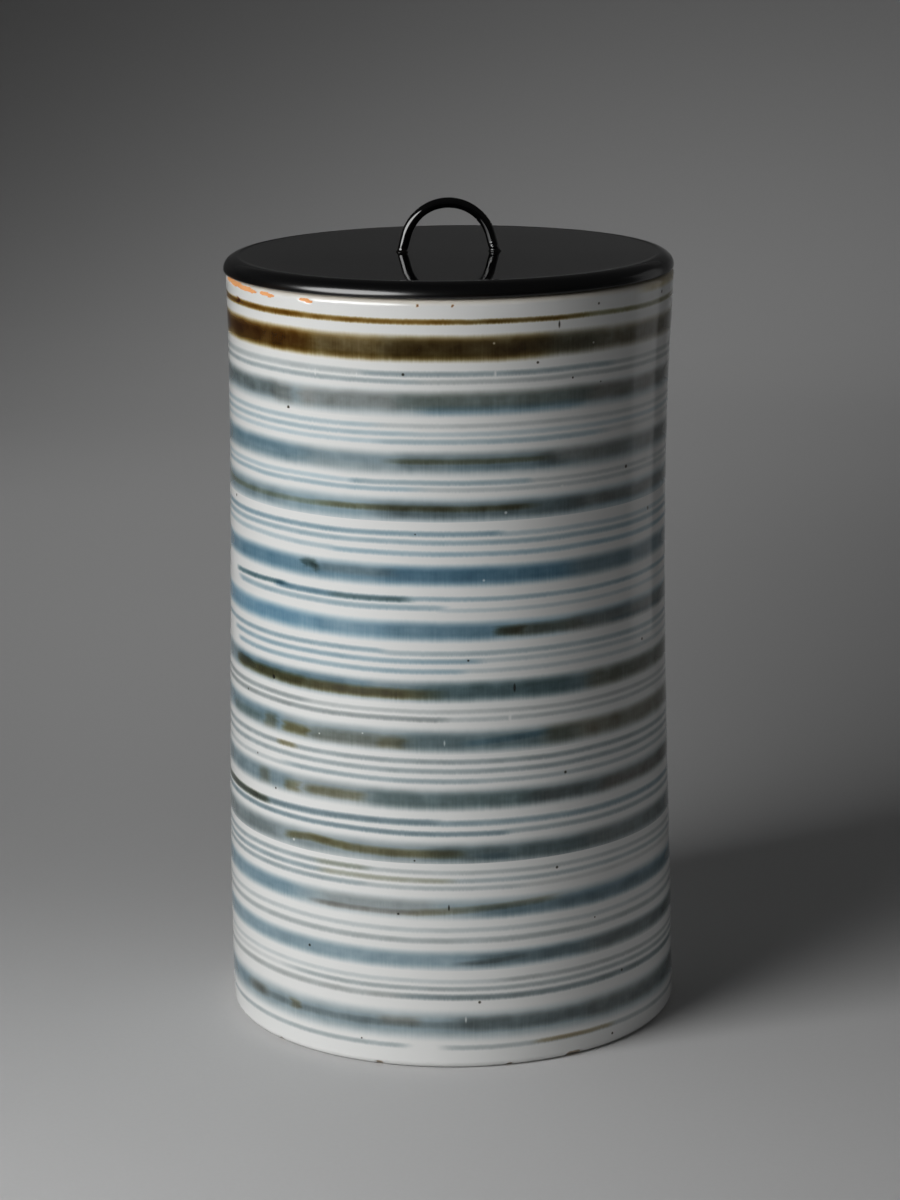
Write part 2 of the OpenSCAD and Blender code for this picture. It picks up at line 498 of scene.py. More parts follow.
def handle_mesh():
    """The bent rod and its tangs, with lacquer gathered round each foot and a drop on the right one."""
    fillet_height = 1.1
    fillet_width = 0.45
    fillet_curve = 2.2
    right_fillet_share = 0.25
    drop_height = 1.4
    drop_size = 0.45
    trail_height = 2.6
    trail_size = 0.14
    sink = 0.15
    tang_end = LID_BOTTOM + 0.05
    tang_bevel = 0.1
    crowding = 1.4
    up_leg = LEG_LENGTH * np.linspace(0, 1, LEG_ROWS) ** crowding
    splay = math.radians(LEG_SPLAY)

    # The right leg and half of the arch as (x, height above the lid, tilt of the section)
    leg_tilt = LEG_SPLAY * smooth_step(0, 2.5, up_leg)
    leg = np.stack([LEG_FOOT - up_leg * math.sin(splay), up_leg * math.cos(splay), leg_tilt], axis=1)
    bend = np.linspace(LEG_SPLAY, 90, ARCH_ROWS)[1:]
    bend_turn = np.radians(bend)
    arch_x = ARCH_RADIUS * np.cos(bend_turn)
    arch_height = ARCH_CENTRE + ARCH_RADIUS * np.sin(bend_turn)
    arch = np.stack([arch_x, arch_height, bend], axis=1)
    half = np.concatenate([leg, arch])
    other_half = half[-2::-1] * [-1, 1, -1] + [0, 0, 180]
    rod = np.concatenate([half, other_half])

    turn = np.radians(around(ROD_COLUMNS))[None, :]
    x, above, tilt = (rod[:, i:i + 1] for i in range(3))
    fillet = fillet_width * (1 - np.clip(above / fillet_height, 0, 1)) ** fillet_curve

    # The drop hangs on the front of the right leg, under the trail that it left
    front = hump(turn, math.radians(-90), 0.55)
    drop = drop_size * hump(above, drop_height, 0.5) + trail_size * hump(above, trail_height, 0.3)
    right_lacquer = drop * front + right_fillet_share * fillet
    thickness = ROD_RADIUS + ROD_RIPPLE * np.sin(tilt / 11) + fillet + (x > 0) * right_lacquer
    rows = rod_rows(x, above - sink * (above < 1e-6), tilt, thickness, turn)

    # A tang goes down from each foot
    full_depth = LID_TOP - tang_end
    tang_depth = np.array([sink, full_depth - tang_bevel, full_depth])[:, None]
    tang_thickness = np.array([TANG_RADIUS, TANG_RADIUS, TANG_RADIUS - tang_bevel])[:, None] + 0 * turn
    right_tang = rod_rows(LEG_FOOT, -tang_depth[::-1], 0 * tang_depth, tang_thickness[::-1], turn)
    left_tang = rod_rows(-LEG_FOOT, -tang_depth, 0 * tang_depth + 180, tang_thickness, turn)
    return skin("bent_handle", leaned(np.concatenate([right_tang, rows, left_tang])))


# Material building
CLEAR_IOR = 1.5


class Nodes:
    """A material whose nodes are added in the order in which they are worked out."""

    def __init__(self, name):
        self.material = bpy.data.materials.new(name)
        self.material.use_nodes = True
        self.tree = self.material.node_tree
        self.shader = self.tree.nodes["Principled BSDF"]

    def put(self, node, values):
        """Gives each input of a node its value, or links it to the output that works it out."""
        for key, value in values.items():
            if isinstance(value, bpy.types.NodeSocket):
                self.tree.links.new(value, node.inputs[key])
            else:
                node.inputs[key].default_value = value

    def add(self, kind, values, output=0, **settings):
        """Adds a node and gives one of its outputs."""
        node = self.tree.nodes.new(kind)
        for name, value in settings.items():
            setattr(node, name, value)
        self.put(node, values)
        return node.outputs[output]

    def math(self, operation, *values):
        return self.add("ShaderNodeMath", dict(enumerate(values)), operation=operation)

    def vector(self, operation, *values, output=0):
        return self.add("ShaderNodeVectorMath", dict(enumerate(values)), output, operation=operation)

    def scaled(self, vector, factor):
        return self.add("ShaderNodeVectorMath", {"Vector": vector, "Scale": factor}, operation="SCALE")

    def step(self, value, zero_at, one_at):
        """A soft step from 0 to 1 between two values."""
        values = {"Value": value, "From Min": zero_at, "From Max": one_at}
        return self.add("ShaderNodeMapRange", values, "Result", interpolation_type="SMOOTHSTEP")

    def between(self, value, low, high):
        """Takes a value from 0 to 1 to the range from low to high."""
        return self.math("MULTIPLY_ADD", value, high - low, low)

    def moved(self, value, noise, amount):
        """A value that noise from 0 to 1 moves up and down within an amount."""
        offset = self.math("SUBTRACT", noise, 0.5)
        return self.math("MULTIPLY_ADD", offset, amount, value)

    def noise(self, place, sizes, detail=2.0):
        """Noise from 0 to 1 whose features have these sizes along X, Y and Z."""
        stretched = self.vector("DIVIDE", place, sizes)
        values = {"Vector": stretched, "Scale": 1.0, "Detail": detail}
        return self.add("ShaderNodeTexNoise", values, noise_dimensions="3D")

    def mix(self, share, first, second):
        return self.add("ShaderNodeMix", {0: share, 6: first, 7: second}, 2, data_type="RGBA")

    def colour(self, *parts):
        return self.add("ShaderNodeCombineColor", dict(enumerate(parts)))

    def attribute(self, name):
        return self.add("ShaderNodeAttribute", {}, "Fac", attribute_name=name)

    def place(self):
        """The point of the surface in its own frame, in millimetres."""
        return self.scaled(self.add("ShaderNodeTexCoord", {}, "Object"), 1 / MM)

    def split(self, vector):
        return tuple(self.add("ShaderNodeSeparateXYZ", {0: vector}).node.outputs)

    def finished(self, colour, roughness, relief, depth):
        """The material with its colour, its roughness and its relief under a clear skin."""
        bump = self.add("ShaderNodeBump", {"Strength": 1.0, "Distance": depth * MM, "Height": relief})
        values = {"Base Color": colour, "Roughness": roughness, "IOR": CLEAR_IOR, "Normal": bump}
        self.put(self.shader, values)
        return self.material


# The painted rings
class Stroke(NamedTuple):
    """One stroke of the brush round the jar: its height, its breadth and how much pigment it lays down.
    It goes all round where it has no start or end, and climbs by a rise for each degree. Its ends fade
    over some degrees, and its edges are soft over a share of its breadth."""
    height: float
    breadth: float
    cobalt: float
    iron: float = 0.0
    start: float = None
    end: float = None
    rise: float = 0.0
    fade: float = 5.0
    soft: float = 0.62
    ochre: float = 0.0


STROKES = [
    # Brown line with rust specks above it, and the broad brown first ring, darker along its middle
    Stroke(218.0, 1.4, 0.02, 0.08, end=-40, fade=10, ochre=1.7),
    Stroke(217.9, 1.2, 0.04, 0.07, -40, 2, fade=10, ochre=1.3),
    Stroke(217.9, 1.1, 0.3, 0.14, 2, 34, fade=16, ochre=1.1),
    Stroke(218.0, 1.2, 0.3, 0.03, 34, fade=14, ochre=0.5),
    # A band just under the lid at the right: ochre stain, and painted shade from the lid
    Stroke(223.0, 2.2, 0, 0, 58, fade=14, ochre=0.4),
    Stroke(218.4, 1.3, 0.1, 0.6, -69, -67, fade=1.5),
    Stroke(222.5, 0.55, 0, 0.5, -8.3, -7.9, fade=0.4, ochre=0.6),
    Stroke(222.5, 0.55, 0, 0.5, 0.6, 1.0, fade=0.4, ochre=0.6),
    Stroke(210.5, 6.2, 0.03, 0.05, end=-36, soft=0.35, ochre=1.15),
    Stroke(210.5, 6.2, 0.08, 0.07, -36, -17, soft=0.35, ochre=0.65),
    Stroke(210.5, 6.0, 0.26, 0.1, -17, 24, fade=10, soft=0.4, ochre=0.85),
    Stroke(210.6, 5.8, 0.44, 0.16, 24, 40, fade=10, soft=0.45, ochre=0.3),
    Stroke(210.7, 5.6, 0.2, 0.1, 40, fade=8, soft=0.5, ochre=0.2),
    Stroke(210.4, 4.4, 0.34, 0.14, soft=0.7),
    Stroke(210.7, 4.0, 0, 0.2, end=-38, fade=8, soft=0.7),
    Stroke(210.7, 4.0, 0.1, 0.12, -16, 26, fade=8, soft=0.7),
    Stroke(208.2, 1.6, 0.06, 0, -72, 7, fade=6, ochre=0.3),
    # Fine lines, then the second ring, grey above and blue below
    Stroke(203.5, 1.5, 0.2, 0.04, end=-22, fade=8),
    Stroke(203.4, 1.3, 0.36, 0.06, -22, 45, fade=6),
    Stroke(203.4, 1.2, 0.16, 0.04, 45),
    Stroke(201.2, 1.2, 0.29, 0.05, end=-8, fade=8),
    Stroke(201.2, 1.2, 0.2, 0.05, -8, fade=8),
    Stroke(195.1, 5.4, 0.45, 0.06),
    Stroke(195.8, 4.2, 0.26, 0.11, end=-48, fade=8),
    Stroke(195.2, 4.6, 0.1, 0.1, -50, -43),
    Stroke(195.2, 4.4, 0, 0.1, -40, -36),
    Stroke(195.4, 4.2, 0.04, 0.09, -36, -13, fade=6),
    Stroke(195.9, 4.2, 0.24, 0.1, -13, 38, fade=8, ochre=0.08),
    Stroke(195.6, 4.0, 0.05, 0.14, 38, fade=8),
    Stroke(193.2, 2.4, 0.26, 0, -6, 34, fade=8),
    # Three fine lines and the third ring, with a dark tongue
    Stroke(188.8, 1.2, 0.26, 0.01, end=-18, fade=8),
    Stroke(188.8, 1.2, 0.14, 0.03, -18, fade=8),
    Stroke(186.5, 1.2, 0.3, 0.01, end=-10, fade=8),
    Stroke(186.4, 1.2, 0.2, 0.01, -10, fade=8),
    Stroke(184.2, 1.2, 0.21, 0, end=-17, fade=8),
    Stroke(184.2, 1.3, 0.32, 0.02, -17, 42, fade=8),
    Stroke(184.2, 1.2, 0.1, 0.02, 42, fade=6),
    Stroke(178.1, 5.3, 0.44, 0.07),
    Stroke(178.3, 4.8, 0.3, 0, end=-40, fade=14),
    Stroke(179.2, 2.0, 0.12, 0, -76, -48, fade=8),
    Stroke(179.0, 2.6, 0.1, 0, -46, -12, fade=10),
    Stroke(178.6, 1.3, 0.1, 0.03, -13, 24, fade=9, ochre=0.3),
    Stroke(178.5, 4.4, 0.22, 0.05, -13, 28, fade=6),
    Stroke(178.6, 3.8, 0.08, 0.09, 24, fade=8),
    Stroke(176.8, 2.0, 0.12, 0, 0, 34, fade=8),
    # Two fine lines and the fourth ring, with an olive core
    Stroke(172.5, 1.2, 0.24, 0, end=-25, fade=8),
    Stroke(172.5, 1.3, 0.36, 0.03, -25, 21, fade=4),
    Stroke(172.4, 1.1, 0.14, 0.03, 21),
    Stroke(170.5, 1.2, 0.34, 0.01, end=-8, fade=10),
    Stroke(170.5, 1.2, 0.16, 0.03, -8, fade=10),
    Stroke(164.6, 5.3, 0.52, 0.04),
    Stroke(164.7, 4.0, 0.1, 0.05, end=-46, fade=10),
    Stroke(164.8, 1.3, 0.05, 0, end=-32, fade=8, ochre=0.25),
    Stroke(165.1, 1.4, 0.06, 0.06, -33, 20, fade=10, ochre=0.4),
    Stroke(164.6, 4.0, 0.32, 0.14, -18, 36, fade=12),
    Stroke(164.9, 3.2, 0.06, 0.14, 34, fade=12),
    # Three fine lines and the fifth ring, the deepest blue
    Stroke(158.1, 1.3, 0.52, 0.03, end=13, rise=0.003),
    Stroke(157.8, 1.2, 0.24, 0.01, 13),
    Stroke(155.6, 1.3, 0.38, 0.02),
    Stroke(152.6, 1.3, 0.26, 0.01, end=-30, rise=-0.012),
    Stroke(152.3, 1.3, 0.4, 0.01, -30),
    Stroke(146.0, 4.8, 0.68, 0.03),
    Stroke(146.0, 4.2, 0.26, 0, end=-42, fade=10),
    Stroke(146.1, 4.4, 0.2, 0.01, -42, -13, fade=10),
    Stroke(146.1, 4.2, 0.5, 0.02, -15, 32, fade=10),
    Stroke(145.9, 4.6, 0.05, 0.06, 32, fade=10),
    Stroke(147.2, 2.2, 0.4, 0.1, -39.6, -35.6, fade=2, ochre=0.15),
    Stroke(146.6, 1.6, 0.2, 0.06, -37, -34.6, rise=-0.5, fade=2, ochre=0.1),
    Stroke(146.7, 2.2, 0.04, 0.07, -35, -14),
    # Two broken lines and the sixth ring, blue with a dark core at the right
    Stroke(138.8, 1.2, 0.9, 0.06, -71, -46, rise=0.036, ochre=0.1),
    Stroke(139.1, 1.5, 0.8, 0.05, -49, -10),
    Stroke(139.1, 1.2, 0.1, 0.04, -30, -10, ochre=0.1),
    Stroke(139.3, 1.2, 0.38, 0.02, -10),
    Stroke(136.7, 1.4, 0.37, 0.02, -69, -1.5),
    Stroke(136.1, 1.1, 0.18, 0.01, -1.5),
    Stroke(130.0, 4.6, 0.64, 0),
    Stroke(130.4, 4.2, 0.26, 0, end=-38, fade=20),
    Stroke(130.1, 3.8, 0.12, 0.02, -36, -12, fade=8),
    Stroke(130.0, 4.2, 0.28, 0.05, -14, 14, fade=8),
    Stroke(129.8, 2.2, 0.3, 0.18, 12, 19, fade=3, ochre=0.3),
    Stroke(129.7, 3.0, 0.2, 0.2, 16, 34, fade=8, ochre=0.14),
    Stroke(129.6, 4.0, 0, 0.18, 32, fade=8),
    Stroke(128.3, 1.1, 0.22, 0, 46, 76, fade=6),
    # Three fine lines and the seventh ring, olive below at the left
    Stroke(124.0, 1.3, 0.44, 0.03, end=-16.5),
    Stroke(123.6, 1.3, 0.28, 0.03, -16.5),
    Stroke(121.3, 1.3, 0.44, 0.02, -73, 8),
    Stroke(121.4, 1.2, 0.18, 0.02, 8),
    Stroke(118.4, 1.3, 0.4, 0.02, -69, 4),
    Stroke(118.5, 1.2, 0.17, 0.02, 4),
    Stroke(112.6, 4.8, 0.68, 0.1),
    Stroke(112.0, 2.6, 0.16, 0.06, -70, -40, ochre=0.8),
    Stroke(111.8, 2.4, 0.06, 0.05, -40, -6, fade=14, ochre=1.0),
    Stroke(112.9, 2.2, 0.25, 0.06, -70, -60),
    Stroke(114.0, 2.0, 0.24, 0, -70, -20, fade=6),
    Stroke(112.6, 4.5, 0.36, 0.03, -6, 34, fade=12, ochre=0.1),
    Stroke(112.5, 4.4, 0, 0.1, 38, fade=8, ochre=0.18),
    # Two fine lines and the eighth ring, mottled with olive
    Stroke(106.7, 1.3, 0.32, 0.08, end=-38),
    Stroke(106.7, 1.2, 0.16, 0.04, -38),
    Stroke(104.4, 1.3, 0.34, 0.09, end=-1),
    Stroke(104.4, 1.2, 0.18, 0.04, -1, fade=8),
    Stroke(98.1, 5.3, 0.49, 0.08),
    Stroke(98.5, 4.6, 0.28, 0, end=-47, fade=6),
    Stroke(97.2, 2.8, 0.14, 0.03, -74, -56, ochre=0.12),
    Stroke(97.6, 3.6, 0, 0.06, -54, -49.5, fade=3, ochre=0.25),
    Stroke(97.4, 2.6, 0.02, 0, -46.5, -38, fade=3, ochre=0.6),
    Stroke(97.5, 3.4, 0.16, 0.08, -37, -10, fade=8, ochre=0.12),
    Stroke(97.2, 2.6, 0, 0, -17.5, -11.5, fade=3, ochre=0.3),
    Stroke(97.8, 4.4, 0.34, 0.04, -12, 34, fade=8, ochre=0.05),
    Stroke(97.5, 1.5, 0.34, 0, 4, 25, rise=0.085),
    Stroke(98.2, 4.6, 0, 0.1, 25, fade=6, ochre=0.14),
    # Three fine lines and the ninth ring
    Stroke(92.1, 1.3, 0.34, 0.07),
    Stroke(92.1, 1.3, 0, 0.02, -48, -42.5, fade=3, ochre=0.35),
    Stroke(89.3, 1.3, 0.32, 0.06),
    Stroke(86.1, 1.2, 0.16, 0.03, end=-46, fade=6),
    Stroke(86.4, 1.3, 0.34, 0.05, -46, 8, fade=8),
    Stroke(86.4, 1.2, 0.24, 0.04, 8, fade=8),
    Stroke(80.9, 5.0, 0.49, 0.1),
    Stroke(81.0, 4.4, 0.2, 0, end=-44, fade=8),
    Stroke(80.8, 4.0, 0, 0.05, -56.5, -52, fade=3, ochre=0.12),
    Stroke(80.2, 2.8, 0, 0.02, -45.5, -41, fade=3, ochre=0.44),
    Stroke(80.4, 2.4, 0.04, 0.03, -38, -22, ochre=0.38),
    Stroke(80.6, 4.2, 0.36, 0.02, -20, 22, fade=10, ochre=0.1),
    Stroke(80.5, 3.4, 0.36, 0.13, 20, 42, fade=8),
    Stroke(80.6, 3.6, 0.14, 0.16, 42, fade=8),
    # Two broken lines and the tenth ring, with a wavy olive streak
    Stroke(73.4, 1.7, 1.1, 0.24, end=-53, fade=4, ochre=0.35),
    Stroke(73.6, 1.6, 0.68, 0.1, -53, -3.5, rise=0.014),
    Stroke(74.0, 1.5, 0.44, 0.05, -3.5),
    Stroke(70.9, 1.3, 0.58, 0.08, end=14),
    Stroke(71.2, 1.3, 0.3, 0.05, 14),
    Stroke(65.0, 5.3, 0.52, 0.1),
    Stroke(65.1, 4.4, 0.12, 0.05, end=-50, fade=8),
    Stroke(65.1, 1.9, 0.06, 0.02, -45, -37, rise=0.12, fade=4, ochre=0.55),
    Stroke(66.0, 1.9, 0.06, 0, -37, -25, rise=-0.08, fade=4, ochre=0.85),
    Stroke(65.0, 2.0, 0.05, 0.02, -25, 3, rise=-0.004, fade=7, ochre=0.6),
    Stroke(64.8, 3.8, 0.42, 0.08, -4, 36, fade=10, ochre=0.04),
    Stroke(64.0, 1.6, 0.25, 0, 8, 15),
    Stroke(65.2, 4.4, 0.1, 0.06, 36, fade=10),
    # Three fine lines and the eleventh ring, with an olive diagonal
    Stroke(59.3, 1.3, 0.34, 0.06, end=-20),
    Stroke(59.3, 1.3, 0, 0, -35, -21, ochre=0.16),
    Stroke(59.3, 1.2, 0.18, 0.04, -20, fade=6),
    Stroke(56.8, 1.3, 0.4, 0.06, end=-34, fade=6),
    Stroke(56.8, 1.3, 0.24, 0.05, -34, 0, fade=6, ochre=0.16),
    Stroke(56.8, 1.2, 0.25, 0.04, 0, fade=6),
    Stroke(54.5, 1.3, 0.34, 0.06, end=-22.5),
    Stroke(54.5, 1.2, 0.2, 0.04, -22.5, 18, fade=6),
    Stroke(54.5, 1.2, 0.1, 0.03, 18, fade=6),
    Stroke(48.5, 4.7, 0.41, 0.05),
    Stroke(48.6, 4.2, 0.3, 0, end=-42, fade=12),
    Stroke(48.8, 3.8, 0, 0.05, -34, -4, fade=8),
    Stroke(47.1, 1.3, 0.1, 0.1, -36, -9, fade=6),
    Stroke(47.2, 1.6, 0.06, 0.06, -10, 26, rise=0.07, fade=9, ochre=0.2),
    Stroke(47.4, 3.4, 0.46, 0.06, 6, fade=16),
    Stroke(49.4, 1.8, 0.16, 0, 32, fade=10),
    # Two pale lines and the twelfth ring
    Stroke(42.2, 1.3, 0.16, 0.03),
    Stroke(39.1, 1.5, 0.25, 0.06),
    Stroke(33.1, 4.4, 0.55, 0.05),
    Stroke(33.2, 4.2, 0.06, 0, end=-52, fade=10),
    Stroke(32.1, 1.2, 0.15, 0.08, 2, 18, rise=0.08, fade=8),
    Stroke(33.1, 3.4, 0.32, 0.1, 6, 36, fade=8),
    Stroke(33.0, 4.2, 0.2, 0.14, 36, fade=8),
    # Three fine lines and the last ring, above a broken line at the foot
    Stroke(26.7, 1.2, 0.12, 0.02, end=12, fade=10),
    Stroke(26.7, 1.2, 0.22, 0.06, 12, fade=10),
    Stroke(24.4, 1.2, 0.08, 0.02, end=-44, fade=12),
    Stroke(24.4, 1.2, 0.27, 0.06, -44, fade=12),
    Stroke(21.8, 1.5, 0.24, 0.07, end=-12, fade=10),
    Stroke(21.8, 1.5, 0.5, 0.11, -12, fade=10),
    Stroke(13.2, 5.7, 0.57, 0.08, soft=0.85),
    Stroke(13.8, 3.4, 0.22, 0, end=-64, fade=6),
    Stroke(13.6, 3.0, 0.08, 0.09, -65, -55, ochre=0.05),
    Stroke(13.6, 2.6, 0, 0.06, -45, -42, fade=2, ochre=0.26),
    Stroke(14.2, 2.4, 0, 0.08, -18, -8, fade=4, ochre=0.04),
    Stroke(13.3, 1.8, 0.12, 0.06, -60, 3, fade=10),
    Stroke(13.7, 3.8, 0.26, 0.12, 2, 36, fade=12),
    Stroke(13.5, 4.6, 0.18, 0.12, 36, fade=6),
    Stroke(6.5, 1.3, 0.26, 0.05, end=-12),
    Stroke(6.5, 1.3, 0.22, 0.05, -2, rise=0.004, fade=6),
    Stroke(6.8, 1.1, 0, 0.06, 22, 44, ochre=0.3),
]


class Spot(NamedTuple):
    """A speck or a pinhole in the glaze."""
    angle: float
    height: float
    radius: float


# Dark specks, and pinholes where no pigment held, with those apart that are drawn out along the height
DARK_SPOTS = [
    Spot(39.2, 220.8, 0.3), Spot(68, 220.3, 0.4),
    Spot(-11.4, 203.1, 0.34), Spot(-44.3, 191, 0.42), Spot(22, 205.8, 0.32), Spot(32, 200.6, 0.26),
    Spot(41, 198.4, 0.22), Spot(51.7, 172.3, 0.42), Spot(-72.5, 160.2, 0.36), Spot(-8.2, 157.9, 0.22),
    Spot(63.5, 157.8, 0.45), Spot(5, 121.6, 0.28), Spot(60, 119.6, 0.36), Spot(-50.4, 111, 0.5),
    Spot(-63.3, 104.2, 0.28), Spot(-58, 86.2, 0.24), Spot(30.4, 86.4, 0.36), Spot(-49.6, 77.8, 0.28),
    Spot(-8.7, 62.8, 0.24), Spot(27.5, 58.5, 0.34), Spot(-13, 46.6, 0.28), Spot(38.7, 41, 0.22),
    Spot(-38, 33, 0.34), Spot(48, 22.1, 0.34), Spot(6.7, 20.2, 0.34), Spot(-23.3, 7.6, 0.22),
    Spot(44, 3.6, 0.32),
]
TALL_DARK_SPOTS = [Spot(27.5, 216.1, 0.26), Spot(16.7, 113, 0.3), Spot(-0.4, 48.9, 0.22)]
PINHOLES = [
    Spot(10.7, 211.8, 0.34), Spot(38, 209.9, 0.3), Spot(29.6, 169.8, 0.5), Spot(14.4, 163.7, 0.4),
    Spot(8.9, 144.6, 0.34), Spot(-34.2, 97.5, 0.26), Spot(-21.8, 99.4, 0.26), Spot(24.6, 84.7, 0.4),
    Spot(-42.8, 64, 0.42), Spot(23, 61.3, 0.32), Spot(-25.3, 37.2, 0.28),
]
TALL_PINHOLES = [
    Spot(-35.2, 202.2, 0.3), Spot(11.2, 203.2, 0.34), Spot(-23.3, 202.4, 0.2), Spot(15.4, 104.5, 0.46),
    Spot(-1, 97.6, 0.26), Spot(3.2, 15, 0.26),
]
TALLNESS = 3.2

# What each pigment takes out of red, green and blue light
COBALT_TAKES = (1.97, 1.24, 0.87)
IRON_TAKES = (2.35, 4.1, 5.3)
OCHRE_TAKES = (1.0, 1.4, 2.6)
GLAZE_WHITE = (0.80, 0.805, 0.79)

# How far the brush wavers, the pigment runs and the strokes' ends stray, and their least soft edge
BRUSH_WAVER = 1.1
PIGMENT_RUN = 0.35
END_STRAY = 4.0
LEAST_BLUR = 0.25

# The pigment of a speck, the share that a pinhole loses, and where a spot fades, in radii
SPECK_COBALT = 0.8
SPECK_IRON = 0.4
PINHOLE_LOSS = 0.75
SPOT_OUTSIDE = 1.7
SPOT_CORE = 0.3

# The rim's edge, worn to cream and darkened by painted shade from the lid, and bare clay, which is rusty
# near the rim and pale near the foot
RIM_SHADED_CREAM = (0.62, 0.52, 0.36, 1)
RIM_SHADE_AND_WEAR = 0.6
RIM_SHADE_START = 2.4
RIM_SHADE_FULL = 0.2
RUSTY_CLAY = ((0.78, 0.31, 0.085, 1), (0.86, 0.42, 0.16, 1))
PALE_CLAY = ((0.38, 0.29, 0.20, 1), (0.66, 0.58, 0.46, 1))
PALE_BELOW = 20
RUSTY_ABOVE = 200
CLAY_ROUGHNESS = 0.65
RAGGED_EDGE = 0.2

# The relief of the glaze, in shares of its depth
RELIEF_DEPTH = 0.02
GLAZE_RIPPLE = 0.25
PINHOLE_RELIEF = 1.5
CLAY_RELIEF = 1.5


def wall_point(spot, tallness=1.0):
    """Where a spot lies on the wall, with its height pressed together by its tallness."""
    radius = float(wall_radius(spot.height))
    turn = math.radians(spot.angle)
    x = radius * math.sin(turn)
    height = spot.height - RING_TILT * x
    return x + float(bow(spot.height)), -radius * math.cos(turn), height / tallness


def covered(nodes, stroke, angle, height):
    """How much of a stroke's pigment lies at a point."""
    if stroke.rise:
        climb_from = stroke.start if stroke.start is not None else stroke.end
        climb = nodes.math("MULTIPLY_ADD", angle, stroke.rise, -stroke.rise * climb_from)
        height = nodes.math("SUBTRACT", height, climb)
    away = nodes.math("ABSOLUTE", nodes.math("SUBTRACT", height, stroke.height))
    blur = LEAST_BLUR + stroke.soft * stroke.breadth
    cover = nodes.step(away, (stroke.breadth + blur) / 2, (stroke.breadth - blur) / 2)
    if stroke.start is not None:
        begun = nodes.step(angle, stroke.start - stroke.fade / 2, stroke.start + stroke.fade / 2)
        cover = nodes.math("MULTIPLY", cover, begun)
    if stroke.end is not None:
        unended = nodes.step(angle, stroke.end + stroke.fade / 2, stroke.end - stroke.fade / 2)
        cover = nodes.math("MULTIPLY", cover, unended)
    return cover


def spotted(nodes, place, spots, tallness=1.0):
    """1 in the middle of each spot and 0 away from them."""
    if tallness != 1.0:
        place = nodes.vector("DIVIDE", place, (1, 1, tallness))
    total = 0.0
    for spot in spots:
        distance = nodes.vector("DISTANCE", place, wall_point(spot, tallness), output="Value")
        inside = nodes.step(distance, spot.radius * SPOT_OUTSIDE, spot.radius * SPOT_CORE)
        total = nodes.math("ADD", inside, total)
    return total


def within(marks, low, high):
    """The strokes or spots whose height lies between two heights."""
    return [mark for mark in marks if low < mark.height <= high]


def laid_pigments(nodes, strokes, angle, height):
    """How much cobalt, iron and ochre the strokes lay down at a point."""
    totals = [0.0, 0.0, 0.0]
    for stroke in strokes:
        cover = covered(nodes, stroke, angle, height)
        for i, amount in enumerate((stroke.cobalt, stroke.iron, stroke.ochre)):
            if amount:
                totals[i] = nodes.math("MULTIPLY_ADD", cover, amount, totals[i])
    return totals


def glaze_colour(nodes, cobalt, iron, ochre):
    """The white of the glaze, less the light that the pigments take out."""
    taken = nodes.vector("ADD", nodes.scaled(COBALT_TAKES, cobalt), nodes.scaled(IRON_TAKES, iron))
    taken = nodes.vector("ADD", taken, nodes.scaled(OCHRE_TAKES, ochre))
    parts = []
    for part, white in zip(nodes.split(taken), GLAZE_WHITE):
        left = nodes.math("EXPONENT", nodes.math("MULTIPLY", part, -1.0))
        parts.append(nodes.math("MULTIPLY", left, white))
    return nodes.colour(*parts)


def clay_colour(nodes, place, z):
    """Patchy bare clay, pale near the foot and rusty near the rim."""
    patches = nodes.noise(place, (3, 3, 1.5))
    rusty = nodes.mix(patches, *RUSTY_CLAY)
    pale = nodes.mix(patches, *PALE_CLAY)
    return nodes.mix(nodes.step(z, PALE_BELOW, RUSTY_ABOVE), pale, rusty)


